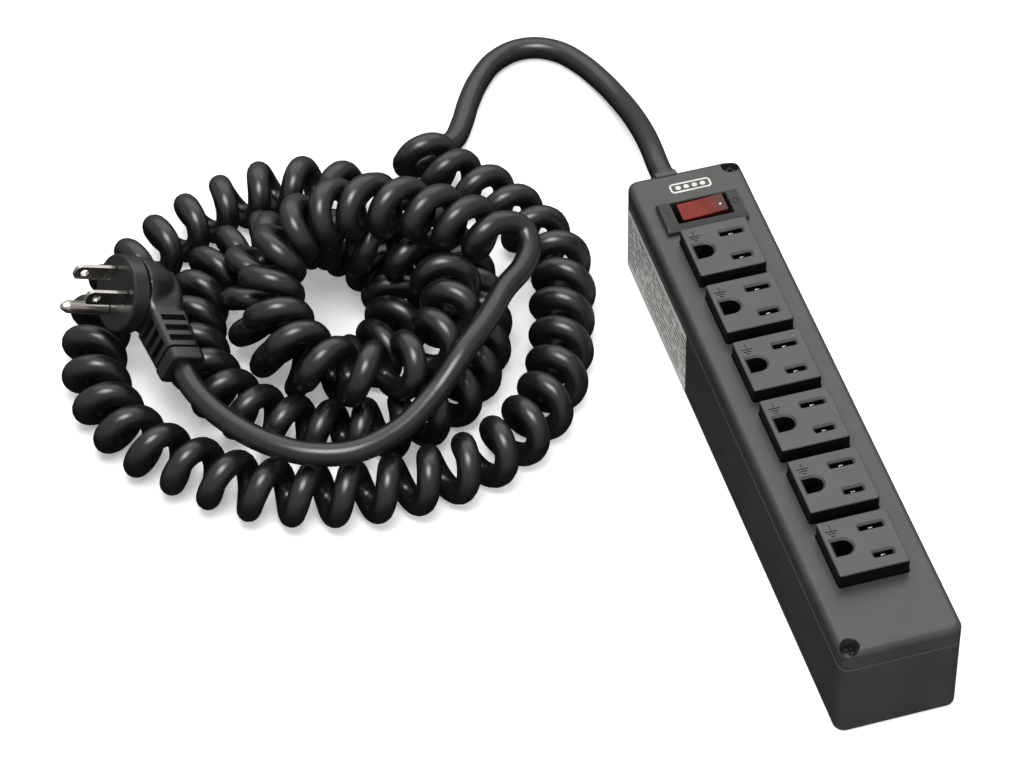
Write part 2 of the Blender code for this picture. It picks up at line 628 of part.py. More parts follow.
for old in list(bpy.data.objects):
    bpy.data.objects.remove(old)
PARTS = new_collection("desk_power_strip")
CUTTERS = new_collection("cutters")

SHELL = make_material("black_plastic", (0.075, 0.07, 0.065), 0.42)
PLATE = make_material("dark_grey_plastic", (0.12, 0.115, 0.11), 0.5)
SWITCH = make_material("switch_plastic", (0.02, 0.02, 0.02), 0.35)
ROCKER_RED = make_material("red_rocker", (0.45, 0.04, 0.025), 0.3)
PALE = make_material("pale_plastic", (0.6, 0.6, 0.57), 0.5)
LABEL = make_material("silver_label", (0.6, 0.6, 0.58), 0.4)
CORD = make_material("black_pvc", (0.012, 0.012, 0.013), 0.33)
BRASS = make_material("brass", (0.72, 0.52, 0.22), 0.35, 1.0)
NICKEL = make_material("nickel", (0.75, 0.73, 0.7), 0.25, 1.0)
STEEL = make_material("steel", (0.55, 0.55, 0.56), 0.35, 1.0)
GLASS = make_material("neon_lamp", (0.8, 0.45, 0.3), 0.1)
WIRE = {
    "wire_hot": make_material("black_wire", (0.02, 0.02, 0.02), 0.4),
    "wire_neutral": make_material("white_wire", (0.8, 0.8, 0.8), 0.4),
    "wire_ground": make_material("green_wire", (0.05, 0.3, 0.08), 0.4),
    "wire_switched": make_material("brown_wire", (0.12, 0.04, 0.02), 0.4),
}

make_bottom_housing()
make_top_cover()
make_screws()
make_outlets()
contact_strip("hot_bus", SLOT_X - 1.7 * MM, -SLOT_OFFSET_Y, 1.7 * MM)
contact_strip("neutral_bus", SLOT_X + 1.9 * MM, SLOT_OFFSET_Y, 1.7 * MM)
contact_strip("ground_bus", EARTH_X, 0, 5.0 * MM)
make_carrier()
make_switch_case()
make_rocker()
make_contacts()
make_label()
make_wires()
make_cord_grip()
make_cord()
make_plug()
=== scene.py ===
"""Looks for the desk power strip: the fine housing, outlets, switch, plug and curly cord
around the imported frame.

Shapes and routes are drawn in millimetres and turned into metres with MM. The camera, the
lights and CORD_LENGTH are in metres. Everything is in the row frame.
"""
import math

import bmesh
import bpy
import numpy as np
from mathutils import Matrix, Vector, kdtree


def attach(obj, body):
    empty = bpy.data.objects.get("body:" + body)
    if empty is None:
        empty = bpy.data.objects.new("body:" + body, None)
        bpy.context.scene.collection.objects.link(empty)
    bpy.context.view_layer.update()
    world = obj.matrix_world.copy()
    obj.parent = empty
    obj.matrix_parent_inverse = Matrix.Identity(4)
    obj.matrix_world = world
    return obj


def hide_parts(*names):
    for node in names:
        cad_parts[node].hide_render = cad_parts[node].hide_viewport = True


MM = 0.001

# Camera: it looks at a point on the floor between the coil and the strip
CAMERA_TARGET = Vector((-0.0816, 0.0702, 0.0))
CAMERA_DISTANCE = 1.4449
CAMERA_AZIMUTH = math.radians(-15.34)
CAMERA_ELEVATION = math.radians(46.73)
CAMERA_ROLL = math.radians(-1.37)
CAMERA_LENS = 137.0

# The room goes from dark to pale grey between two heights of the view's direction
WORLD_SHADE = (-0.5, 0.2, 0.01, 0.44)    # the two heights, then their greys

# Cord: the routes of the CAD solids, eased where the curls begin and end
CORD_RADIUS = 4.4 * MM
CURL_RADIUS = 8.1 * MM              # of the curls' centreline
CURL_STEPS = 30                     # points in one curl
CORD_SPACING = 1.7 * MM             # of the finished centreline's points
CORD_EXIT = Vector((0, 142.3, 18)) * MM
LEAD_ROUTE = [
    (0, 142.3, 18), (0, 148, 18), (0.6, 156, 17.2), (1.4, 167, 15), (1.8, 178, 12.2),
    (1.7, 189, 9.2), (0.9, 200, 6.5), (-2, 214, 4.8), (-7, 227, 4.4), (-13.5, 236.5, 4.4),
    (-21.5, 241.5, 4.4), (-29.5, 242.3, 4.4), (-39.5, 238.5, 4.4), (-49, 229, 4.4),
    (-56.5, 217.5, 4.4), (-61.9, 207.3, 4.4), (-67.3, 199.4, 4.4), (-75, 194.8, 4.4),
]
COIL_ROUTE = [
    (-84, 194, 12.3), (-84, 188, 12.3), (-79, 175.5, 12.3), (-67, 159, 12.3),
    (-59, 144, 12.3), (-52, 126, 12.3), (-50, 110, 12.3), (-56, 91, 12.3), (-62, 72, 12.3),
    (-71, 53, 12.3), (-87, 36, 12.3), (-107, 26, 12.3), (-127, 23, 12.3), (-149, 24, 12.3),
    (-170, 29, 12.3), (-190, 39, 12.3), (-206, 53, 12.3), (-220, 69, 12.3),
    (-228, 87, 12.3), (-230, 108, 12.3), (-225, 129, 12.3), (-215, 147, 12.3),
    (-200, 161, 12.3), (-182, 173, 12.3), (-161, 182, 12.3), (-139, 184, 12.3),
    (-121, 177, 12.3), (-108, 165, 12.3), (-96, 148, 12.3), (-88, 128, 12.3),
    (-86, 106, 12.3), (-90, 84, 12.3), (-99, 68, 12.3), (-112, 57, 12.3), (-129, 52, 12.3),
    (-147, 53, 12.3), (-164, 60, 12.3), (-180, 74, 12.3), (-190, 93, 12.3),
    (-191, 116, 12.3), (-183, 137, 12.3), (-171, 151, 12.3), (-155, 158, 12.3),
    (-138, 156, 12.3), (-125, 147, 12.3), (-116, 130, 12.3), (-114, 111, 12.3),
    (-123, 93, 12.3), (-140, 84, 12.3), (-155, 89, 12.6), (-164, 102, 13.5),
    (-167, 116, 17), (-165, 129, 24.5), (-156, 136, 31.5), (-141, 135, 33), (-125, 127, 33),
    (-110, 117, 33), (-100, 104, 33), (-98, 90, 33.5), (-103, 77, 34), (-114, 65, 34),
    (-129, 58, 34.3), (-144, 61, 34.6), (-156, 72, 35), (-162, 87, 36.5), (-163, 102, 41),
    (-158, 113, 47), (-148, 120, 52.5), (-136, 123, 55), (-122, 122, 55.5),
    (-108, 117, 54.5), (-95, 112, 51), (-85, 108, 46.5), (-77.5, 104.5, 42),
]
# How tightly it is curled: (share of the coil's length, length for one curl)
CURL_PITCH = [
    (0.0, 10), (0.006, 11), (0.012, 14.5), (0.05, 15.3), (0.10, 15.3), (0.13, 14.5), (0.25, 15),
    (0.33, 15.4), (0.38, 15), (0.41, 14), (0.44, 12.6), (0.48, 12.6), (0.51, 14), (0.59, 14),
    (0.61, 12.4), (0.64, 12.4), (0.68, 14.8), (0.72, 14), (0.76, 12.6), (0.79, 13), (0.82, 16.5),
    (0.88, 16), (0.91, 14), (0.94, 12.8), (1.0, 12.4),
]
# How far the curls lie over towards the near, upper side: (share of the coil's length, lean)
CURL_LEAN = [(0.0, 0.0), (0.93, 0.0), (0.96, 0.75), (1.0, 0.95)]
LEAN_WAY = Vector((-0.1, -0.85, 0.5))
TAIL_ROUTE = [
    (-66.5, 103.5, 45), (-66.3, 97, 42), (-70.5, 90, 40.5), (-81, 80, 40.5), (-90, 68, 41.5),
    (-103, 54, 41.5), (-118, 42, 35), (-135, 32, 31), (-153, 28, 30), (-168, 32, 30),
    (-181, 42, 30), (-191, 55, 30), (-197.5, 68, 30.4),
]

# Plug: its face, its axis and the way its cord leaves
PLUG_FACE = Vector((-217.6, 118.7, 42.0)) * MM
PLUG_AXIS = Vector((-0.88, -0.15, 0.45)).normalized()
PLUG_EXIT = Vector((0.11, -0.985, -0.11))
PLUG_EXIT_DEPTH = 14 * MM
PLUG_RELIEF_LENGTH = 38 * MM

# Housing, in millimetres; the base and the cover meet at PARTING_Z
HALF_WIDTH, HALF_LENGTH = 22, 120
CORNER_RADIUS = 4
PARTING_Z, COVER_TOP_Z = 33, 41.5
JOINT_GAP = 0.6
JOINT_CHAMFER = 0.5
COVER_EDGE_RADIUS = 2.8
BASE_EDGE_RADIUS = 1.2
WALL, FLOOR = 2.2, 2.5
GRIP_HOLE_RADIUS = 6
SCREW_PLACES = ((18, 116.4), (-18, -116.4))
BORE_RADIUS, BORE_DEPTH = 3.4, 4.6
LABEL_Y, LABEL_Z, LABEL_THICKNESS = (46.7, 116.0), (1.6, 30.5), 0.35

# Outlets, about each one's own centre
OUTLET_Y = [71 - 30 * i for i in range(6)]
OUTLET_HALF = (12.7, 12.5)
FLANGE_HALF = (15.5, 14.6)
FLANGE_Z = (37.0, 39.0)
OUTLET_FACE_Z = 47.5
SLOTS = (((1.6, 8.6), -6.35), ((0.8, 9.4), 6.35))    # (x range, y) of the hot and neutral slots
SLOT_HALF_WIDTH = 1.1
SLOT_FLARE = 0.75
EARTH_X, EARTH_RADIUS = -7.1, 3.4

# Switch
BEZEL_X, BEZEL_Y, BEZEL_Z = (-16.0, 15.7), (87.0, 102.6), (41.8, 44.1)
SWITCH_Y = 95.5
OPENING_HALF = (10.7, 5.5)
ROCKER_PIVOT = Vector((0, SWITCH_Y, 40)) * MM
ROCKER_TILT = math.radians(-11)
ROCKER_TOP_X, ROCKER_HALF_WIDTH = (-7.9, 9.8), 4.4
# The rocker's top over its pivot, before it is tipped: height, slope and hollow
ROCKER_TOP_Z, ROCKER_SLOPE, ROCKER_HOLLOW = 4.6, -0.14, 0.3
# A pale dot on the rocker's top, a painted highlight where a lamp's glint shows: its x and y over
# the pivot
ROCKER_PAINTED_GLINT = (7.6, -1.0)

# Plug parts in millimetres, in the plug's own frame
BLADE_Y = 6.35
BLADE_X = 4
PIN_X = -7.9


def make_camera():
    a, e = CAMERA_AZIMUTH, CAMERA_ELEVATION
    back = Vector((math.sin(a) * math.cos(e), -math.cos(a) * math.cos(e), math.sin(e)))
    data = bpy.data.cameras.new("camera")
    data.lens = CAMERA_LENS
    camera = bpy.data.objects.new("camera", data)
    turn = (-back).to_track_quat("-Z", "Y").to_matrix().to_4x4()
    roll = Matrix.Rotation(CAMERA_ROLL, 4, "Z")
    camera.matrix_world = (Matrix.Translation(CAMERA_TARGET + back * CAMERA_DISTANCE)
                           @ turn @ roll)
    bpy.context.scene.collection.objects.link(camera)
    bpy.context.scene.camera = camera


def add_light(name, location, aim, size, power, mirrored=True):
    """An area light of a size and a power in watts; one that isn't mirrored only fills."""
    data = bpy.data.lights.new(name, "AREA")
    data.shape = "RECTANGLE"
    data.size, data.size_y = size
    data.energy = power
    light = bpy.data.objects.new(name, data)
    light.visible_glossy = mirrored
    light.location = location
    light.rotation_euler = (Vector(aim) - Vector(location)).to_track_quat("-Z", "Y").to_euler()
    bpy.context.scene.collection.objects.link(light)


def make_world():
    """Plain grey surroundings that are darker below the horizon."""
    world = bpy.data.worlds.new("studio")
    world.use_nodes = True
    tree = world.node_tree
    direction = tree.nodes.new("ShaderNodeTexCoord").outputs["Generated"]
    parts = tree.nodes.new("ShaderNodeSeparateXYZ")
    shade = tree.nodes.new("ShaderNodeMapRange")
    for socket, value in zip(("From Min", "From Max", "To Min", "To Max"), WORLD_SHADE):
        shade.inputs[socket].default_value = value
    tree.links.new(direction, parts.inputs[0])
    tree.links.new(parts.outputs["Z"], shade.inputs["Value"])
    tree.links.new(shade.outputs["Result"], tree.nodes["Background"].inputs["Color"])
    bpy.context.scene.world = world
    bpy.context.scene.view_settings.view_transform = "Standard"


def make_lights():
    add_light("overhead", (-0.25, -0.2, 1.1), (-0.1, 0.0, 0), (0.6, 0.5), 10)
    add_light("back", (0.2, 0.9, 1.1), (-0.02, -0.1, 0), (2.0, 1.2), 9)
    add_light("front", (0.35, -1.2, 0.7), (0.0, 0.0, 0), (0.5, 0.3), 8, mirrored=False)


def make_floor():
    """A pale floor that is not mirrored in the object's sides."""
    mesh = bpy.data.meshes.new("floor")
    bm = bmesh.new()
    bmesh.ops.create_grid(bm, x_segments=1, y_segments=1, size=4)
    bm.to_mesh(mesh)
    bm.free()
    floor = bpy.data.objects.new("floor", mesh)
    material = bpy.data.materials.new("floor")
    material.use_nodes = True
    shader = material.node_tree.nodes["Principled BSDF"]
    shader.inputs["Base Color"].default_value = (0.92, 0.92, 0.92, 1)
    shader.inputs["Roughness"].default_value = 0.7
    shader.inputs["Emission Color"].default_value = (1, 1, 1, 1)
    shader.inputs["Emission Strength"].default_value = 0.3
    mesh.materials.append(material)
    bpy.context.scene.collection.objects.link(floor)
    floor.visible_glossy = False


# Upward parts of a face's normal for the painted side shade: upright faces have less than the
# first, tops more than the second
UPRIGHT, TIPPED = 0.15, 0.5
# A noise value up to the first gives a ramp's low colour, from the second its high one
RAMP_STOPS = (0.3, 0.7)


class Surface:
    """A Principled material whose colour, roughness and bump come from small noise patterns."""

    def __init__(self, name, roughness, metallic=0.0, specular=0.5, transmission=0.0):
        self.slot = name
        self.material = bpy.data.materials.new(f"fine_{name}")
        self.material.use_nodes = True
        self.tree = self.material.node_tree
        self.shader = self.tree.nodes["Principled BSDF"]
        for socket, value in (("Roughness", roughness), ("Metallic", metallic),
                              ("Specular IOR Level", specular),
                              ("Transmission Weight", transmission)):
            self.shader.inputs[socket].default_value = value
        self.place = self.tree.nodes.new("ShaderNodeTexCoord").outputs["Object"]

    def node(self, kind, **values):
        made = self.tree.nodes.new(kind)
        for name, value in values.items():
            if name in made.inputs:
                made.inputs[name].default_value = value
            else:
                setattr(made, name, value)
        return made

    def link(self, output, target):
        self.tree.links.new(output, target)

    def noise(self, scale, detail=3.0, rough=0.5):
        made = self.node("ShaderNodeTexNoise", Scale=scale, Detail=detail, Roughness=rough)
        self.link(self.place, made.inputs["Vector"])
        return made.outputs["Fac"]

    def ramp(self, factor, low, high):
        made = self.node("ShaderNodeValToRGB")
        for stop, position, colour in zip(made.color_ramp.elements, RAMP_STOPS, (low, high)):
            stop.position = position
            stop.color = (*colour, 1)
        self.link(factor, made.inputs["Fac"])
        return made.outputs["Color"]

    def part(self, vector, axis):
        parts = self.node("ShaderNodeSeparateXYZ")
        self.link(vector, parts.inputs[0])
        return parts.outputs[axis]

    def map_range(self, value, start, stop, low=0, high=1):
        made = self.node("ShaderNodeMapRange", **{"From Min": start, "From Max": stop,
                                                  "To Min": low, "To Max": high})
        self.link(value, made.inputs["Value"])
        return made.outputs["Result"]

    def mix(self, factor, first, second):
        """Colour that goes from the first to the second with the factor."""
        made = self.node("ShaderNodeMix", data_type="RGBA")
        self.link(factor, made.inputs["Factor"])
        sockets = [i for i in made.inputs if i.type == "RGBA"]
        for socket, value in zip(sockets, (first, second)):
            if isinstance(value, tuple):
                socket.default_value = (*value, 1)
            else:
                self.link(value, socket)
        return next(o for o in made.outputs if o.type == "RGBA")

    def colour(self, low, high, scale=40, painted_side_shade=None, end=None):
        """Varies between low and high, and blends into the end's colour between its two X values.

        Upright faces take the painted side shade, a darker colour painted on them for shade, and
        lose their shine.
        """
        shade = self.ramp(self.noise(scale), low, high)
        if end:
            start, stop, tone = end
            across = self.map_range(self.part(self.place, "X"), start * MM, stop * MM)
            shade = self.mix(across, shade, tone)
        # Painted shade: upright faces get a darker colour, blended in by how far their normal
        # points up
        if painted_side_shade:
            normal = self.node("ShaderNodeTexCoord").outputs["Normal"]
            upward = self.part(normal, "Z")
            specular = self.shader.inputs["Specular IOR Level"]
            shade = self.mix(self.map_range(upward, UPRIGHT, TIPPED), painted_side_shade, shade)
            self.link(self.map_range(upward, UPRIGHT, TIPPED, 0.05, specular.default_value),
                      specular)
        self.link(shade, self.shader.inputs["Base Color"])
        return self

    def vary_roughness(self, low, high, scale=60):
        self.link(self.map_range(self.noise(scale, 4.0), 0, 1, low, high),
                  self.shader.inputs["Roughness"])
        return self

    def grain(self, scale, strength, distance=0.0001):
        made = self.node("ShaderNodeBump", Strength=strength, Distance=distance)
        self.link(self.noise(scale, 2.0, 0.6), made.inputs["Height"])
        self.link(made.outputs["Normal"], self.shader.inputs["Normal"])
        return self


def make_surfaces():
    """One surface for each of the record's material slots."""
    made = {}

    def surface(name, *values, **more):
        made[name] = Surface(name, *values, **more)
        return made[name]

    surface("housing_plastic", 0.4, specular=0.8).colour(
        (0.026, 0.0250, 0.0228), (0.034, 0.0325, 0.0298), 60).vary_roughness(
        0.36, 0.46, 90).grain(2600, 0.12, 0.00012)
    # Outlet faces: their upright walls get a painted shade, much darker than their tops
    surface("outlet_plastic", 0.45, specular=0.85).colour(
        (0.034, 0.0330, 0.0305), (0.044, 0.0425, 0.0395), 80,
        painted_side_shade=(0.004, 0.004, 0.0038)).vary_roughness(0.4, 0.52, 120).grain(2600, 0.12, 0.00012)
    surface("switch_plastic", 0.4, specular=0.45).colour(
        (0.016, 0.0155, 0.0145), (0.023, 0.0222, 0.0208), 80).vary_roughness(
        0.34, 0.46, 120).grain(2600, 0.12, 0.00012)
    # The rocker's upright sides get a painted shade in dark red
    surface("red_rocker", 0.22, specular=0.2).colour(
        (0.11, 0.010, 0.006), (0.19, 0.020, 0.012), 160, painted_side_shade=(0.04, 0.003, 0.002),
        end=(2.5, 7.5, (0.075, 0.030, 0.024))).vary_roughness(0.18, 0.26, 200)
    surface("pale_plastic", 0.5).colour(
        (0.52, 0.52, 0.50), (0.66, 0.66, 0.63), 120).grain(2200, 0.1)
    surface("brass_contact", 0.32, metallic=1.0).colour(
        (0.62, 0.42, 0.16), (0.80, 0.60, 0.30), 150).vary_roughness(
        0.24, 0.42, 200).grain(900, 0.06)
    surface("nickel", 0.24, metallic=1.0).colour(
        (0.56, 0.53, 0.48), (0.74, 0.71, 0.66), 130).vary_roughness(
        0.18, 0.34, 220).grain(1200, 0.05)
    surface("steel", 0.4, metallic=0.7).colour(
        (0.02, 0.02, 0.02), (0.05, 0.05, 0.048), 300).vary_roughness(0.32, 0.5, 300)
    surface("neon_glass", 0.08, transmission=0.6).colour(
        (0.75, 0.32, 0.18), (0.85, 0.48, 0.30), 200)
    surface("label_foil", 0.38, metallic=0.25)
    surface("cord_pvc", 0.33, specular=0.8).colour(
        (0.004, 0.0039, 0.0036), (0.008, 0.0078, 0.0072), 90).vary_roughness(
        0.28, 0.37, 120).grain(1500, 0.04)
    label_pattern(made["label_foil"])
    for name, low, high in (("black_wire", (0.012, 0.012, 0.012), (0.02, 0.02, 0.02)),
                            ("white_wire", (0.70, 0.70, 0.67), (0.82, 0.82, 0.79)),
                            ("green_wire", (0.03, 0.24, 0.06), (0.06, 0.34, 0.10)),
                            ("brown_wire", (0.09, 0.03, 0.015), (0.14, 0.05, 0.025))):
        surface(name, 0.38).colour(low, high, 120).vary_roughness(0.32, 0.44, 150)
    return made


def label_pattern(surface):
    """Silver foil with rows of short plain dashes, as small print looks from afar."""
    row_pitch = 2.6 * MM
    bottom, top = 3.4 * MM, 28.6 * MM
    along, height = surface.part(surface.place, "Y"), surface.part(surface.place, "Z")

    def math_node(operation, first, second):
        made = surface.node("ShaderNodeMath", operation=operation)
        for socket, value in zip(made.inputs, (first, second)):
            if isinstance(value, (int, float)):
                socket.default_value = value
            else:
                surface.link(value, socket)
        return made.outputs[0]

    row = math_node("MULTIPLY", height, 1 / row_pitch)
    in_row = math_node("LESS_THAN", math_node("FRACT", row, 0), 0.5)
    stretched = surface.node("ShaderNodeCombineXYZ")
    surface.link(math_node("MULTIPLY", along, 330), stretched.inputs["X"])
    surface.link(math_node("MULTIPLY", math_node("FLOOR", row, 0), 7.3), stretched.inputs["Y"])
    dashes = surface.node("ShaderNodeTexNoise", Scale=1.0, Detail=2.0, Roughness=0.6)
    surface.link(stretched.outputs[0], dashes.inputs["Vector"])
    ink = math_node("MULTIPLY", math_node("GREATER_THAN", dashes.outputs["Fac"], 0.47), in_row)
    low = math_node("GREATER_THAN", height, bottom)
    high = math_node("LESS_THAN", height, top)
    inside = math_node("MULTIPLY", low, high)
    ink = math_node("MULTIPLY", math_node("MULTIPLY", ink, inside), 0.8)
    foil = surface.ramp(surface.noise(70), (0.66, 0.66, 0.635), (0.80, 0.80, 0.77))
    surface.link(surface.mix(ink, foil, (0.03, 0.03, 0.03)), surface.shader.inputs["Base Color"])
    surface.grain(1500, 0.05)


def distances(points):
    """How far along the line through the points each of them is."""
    return np.append(0, np.cumsum(np.linalg.norm(np.diff(points, axis=0), axis=1)))


def at_places(points, run, places):
    """Points on that line at the given distances along it."""
    return np.stack([np.interp(places, run, points[:, k]) for k in range(3)], axis=1)


def smooth_path(points, spacing):
    """Points at an even spacing along a smooth curve through the given ones."""
    points = [Vector(p) for p in points]
    steps = [(b - a).length for a, b in zip(points, points[1:])]
    slopes = [(b - a) / d for a, b, d in zip(points, points[1:], steps)]
    tangents = [slopes[0]]
    for before, after, left, right in zip(slopes, slopes[1:], steps, steps[1:]):
        tangents.append((before * right + after * left) / (left + right))
    tangents.append(slopes[-1])
    dense = []
    for i, step in enumerate(steps):
        for t in (k / 16 for k in range(16)):
            dense.append(points[i] * (2 * t**3 - 3 * t**2 + 1)
                         + tangents[i] * step * (t**3 - 2 * t**2 + t)
                         + points[i + 1] * (3 * t**2 - 2 * t**3)
                         + tangents[i + 1] * step * (t**3 - t**2))
    dense.append(points[-1])
    dense = np.array(dense)
    run = distances(dense)
    count = max(2, round(run[-1] / spacing))
    return at_places(dense, run, np.linspace(0, run[-1], count + 1))


def in_metres(route):
    return [Vector(p) * MM for p in route]


def curls(axis):
    """The cord wound round the coil's axis, from the bottom of the first curl."""
    run = distances(axis)
    shares, pitches = zip(*CURL_PITCH)
    rate = 1 / (np.interp(run / run[-1], shares, pitches) * MM)
    turns = np.append(0, np.cumsum((rate[1:] + rate[:-1]) / 2 * np.diff(run)))
    count = round(turns[-1])
    turns *= count / turns[-1]
    turn = np.linspace(0.5, count, round((count - 0.5) * CURL_STEPS) + 1)
    along_axis = np.interp(turn, turns, run)
    centre = at_places(axis, run, along_axis)
    along = np.gradient(centre, axis=0)
    along /= np.linalg.norm(along, axis=1)[:, None]
    along += np.interp(along_axis / run[-1], *zip(*CURL_LEAN))[:, None] * np.array(LEAN_WAY)
    along /= np.linalg.norm(along, axis=1)[:, None]
    side = np.cross(along, (0, 0, 1))
    side /= np.linalg.norm(side, axis=1)[:, None]
    over = np.cross(side, along)
    angle = -2 * math.pi * turn[:, None]
    return centre + CURL_RADIUS * (np.cos(angle) * over + np.sin(angle) * side)


def even(path):
    """The same line with its points at the cord's own spacing."""
    run = distances(path)
    return at_places(path, run, np.linspace(0, run[-1], round(run[-1] / CORD_SPACING)))


def smooth_along(values, width):
    """A moving average, run twice, along a list of points."""
    kernel = np.ones(2 * width + 1) / (2 * width + 1)
    for _ in range(2):
        padded = np.pad(values, ((width, width), (0, 0)), mode="edge")
        values = np.stack([np.convolve(padded[:, k], kernel, "valid") for k in range(3)], axis=1)
    return values


def settle(path):
    """Moves a cord's stretches apart where they press into each other or into the floor.

    The moves are spread along the cord, so that a curl shifts as a whole and keeps its shape.
    """
    diameter = 2 * CORD_RADIUS
    neighbours = 14        # points along the cord that may be near each other anyway
    rounds = 60
    search_again = 12      # rounds between two searches for points that are near
    reach = 1.5            # of that search, in diameters
    clearance = 1.01       # between centrelines, in diameters
    stride = 1.6           # how far a round goes, against the push it finds
    spread = 3             # points to each side that share a push
    held = 5               # points at each end that stay where they are
    offset = np.zeros_like(path)
    for turn in range(rounds):
        now = path + offset
        if turn % search_again == 0:
            tree = kdtree.KDTree(len(now))
            for i, p in enumerate(now):
                tree.insert(p, i)
            tree.balance()
            pairs = np.array([(i, j) for i, p in enumerate(now)
                              for _, j, _ in tree.find_range(p, reach * diameter)
                              if j > i + neighbours])
        gap = now[pairs[:, 1]] - now[pairs[:, 0]]
        far = np.linalg.norm(gap, axis=1)
        depth = np.clip(diameter * clearance - far, 0, None)
        push = gap / np.maximum(far, 1e-6)[:, None] * (depth * 0.5)[:, None]
        total, weight = np.zeros_like(path), np.zeros(len(path))
        for column, sign in ((0, -1), (1, 1)):
            np.add.at(total, pairs[:, column], sign * push)
            np.add.at(weight, pairs[:, column], (depth > 0).astype(float))
        total /= np.maximum(weight, 1)[:, None]
        total[:, 2] += np.clip(CORD_RADIUS - now[:, 2], 0, None)
        offset += smooth_along(total, spread) * stride
        offset[:held] = offset[-held:] = 0
    result = path + offset
    result[:, 2] = np.maximum(result[:, 2], CORD_RADIUS)
    return result


def plug_exit_way():
    way = PLUG_EXIT - PLUG_EXIT.dot(PLUG_AXIS) * PLUG_AXIS
    return way.normalized()


def cord_path():
    """The cord's centreline: the lead from the strip, the curls, and the tail to the plug."""
    axis = smooth_path(in_metres(COIL_ROUTE), 2 * MM)
    wound = curls(axis)
    lead = smooth_path(in_metres(LEAD_ROUTE) + [wound[0], wound[6], wound[12]], CORD_SPACING)
    lead = lead[:np.argmin(np.linalg.norm(lead - wound[0], axis=1))]
    relief_end = PLUG_FACE - PLUG_AXIS * PLUG_EXIT_DEPTH + plug_exit_way() * PLUG_RELIEF_LENGTH
    end = [relief_end + plug_exit_way() * 5 * MM, relief_end]
    tail = smooth_path([wound[-13], wound[-7], wound[-1], *in_metres(TAIL_ROUTE), *end],
                       CORD_SPACING)
    meeting = np.argmin(np.linalg.norm(tail - wound[-1], axis=1))
    return np.concatenate([lead, wound, tail[meeting + 1:]])


def make_cord(surface):
    path = even(settle(even(cord_path())))
    curve = bpy.data.curves.new("mains_cord", "CURVE")
    curve.dimensions = "3D"
    curve.bevel_depth = CORD_RADIUS
    curve.bevel_resolution = 6
    curve.use_fill_caps = True
    spline = curve.splines.new("POLY")
    spline.points.add(len(path) - 1)
    spline.points.foreach_set("co", np.append(path, np.ones((len(path), 1)), axis=1).ravel())
    spline.use_smooth = True
    curve.materials.append(surface.material)
    cord = bpy.data.objects.new("mains_cord", curve)
    bpy.context.scene.collection.objects.link(cord)
    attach(cord, "strip")
    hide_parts("cord_lead", "curly_cord", "cord_tail")


# ---- Mesh building: outlines and heights in millimetres ----

def symmetric(half):
    return (-half, half)


def about(centre, half):
    return (centre - half, centre + half)


def rounded_rect(x, y, radius, grow=0.0, steps=6):
    """Outline of a rectangle between the (low, high) pairs, with arcs at its corners."""
    radius = max(radius + grow, 0.05)
    points = []
    for k, (cx, cy) in enumerate(((x[1] + grow - radius, y[1] + grow - radius),
                                  (x[0] - grow + radius, y[1] + grow - radius),
                                  (x[0] - grow + radius, y[0] - grow + radius),
                                  (x[1] + grow - radius, y[0] - grow + radius))):
        for step in range(steps + 1):
            angle = math.pi / 2 * (k + step / steps)
            points.append((cx + radius * math.cos(angle), cy + radius * math.sin(angle)))
    return points


def circle(x, y, radius, steps=40):
    return [(x + radius * math.cos(2 * math.pi * k / steps),
             y + radius * math.sin(2 * math.pi * k / steps)) for k in range(steps)]


def earth_outline(grow=0.0, steps=16):
    """A half circle on the outlet's inner side, square on the outer side."""
    radius = EARTH_RADIUS + grow
    arc = [(EARTH_X + radius * math.sin(math.pi * k / steps),
            -radius * math.cos(math.pi * k / steps)) for k in range(steps + 1)]
    return arc + [(EARTH_X - radius, radius), (EARTH_X - radius, -radius)]


def stack(rings):
    """A closed solid through (outline, height) rings, from the lowest up."""
    bm = bmesh.new()
    loops = [[bm.verts.new((x * MM, y * MM, z * MM)) for x, y in outline]
             for outline, z in rings]
    for low, high in zip(loops, loops[1:]):
        for i, corner in enumerate(low):
            j = (i + 1) % len(low)
            bm.faces.new((corner, low[j], high[j], high[i]))
    bm.faces.new(loops[0][::-1])
    bm.faces.new(loops[-1])
    return to_mesh(bm)


def to_mesh(bm):
    mesh = bpy.data.meshes.new("shape")
    bm.to_mesh(mesh)
    bm.free()
    return mesh


def rounded_top(outline, low, high, radius, steps=7):
    """Rings from low to high whose upper edge is a quarter round; outline takes a growth."""
    rings = [(outline(0), low)]
    for k in range(steps + 1):
        angle = math.pi / 2 * k / steps
        rings.append((outline(-radius * (1 - math.cos(angle))),
                      high - radius * (1 - math.sin(angle))))
    return rings


def flared(outline, low, face, flare):
    """A cutter that goes down to low and widens by the flare at the face."""
    return stack([(outline(0), low), (outline(0), face - flare),
                  (outline(flare * 1.3), face + flare * 0.3)])


def moved(mesh, matrix):
    mesh.transform(matrix)
    return mesh


def shifted(mesh, x=0.0, y=0.0, z=0.0):
    return moved(mesh.copy(), Matrix.Translation(Vector((x, y, z)) * MM))


def block(x, y, z, radius=0.05):
    return stack([(rounded_rect(x, y, radius, steps=2), z[0]),
                  (rounded_rect(x, y, radius, steps=2), z[1])])


def as_object(mesh):
    made = bpy.data.objects.new(mesh.name, mesh)
    bpy.context.scene.collection.objects.link(made)
    return made


def evaluated(part):
    """The object's mesh with its modifiers applied; the object goes."""
    bpy.context.view_layer.update()
    graph = bpy.context.evaluated_depsgraph_get()
    mesh = bpy.data.meshes.new_from_object(part.evaluated_get(graph))
    bpy.data.objects.remove(part)
    return mesh


def joined(meshes):
    bm = bmesh.new()
    for mesh in meshes:
        bm.from_mesh(mesh)
    return to_mesh(bm)


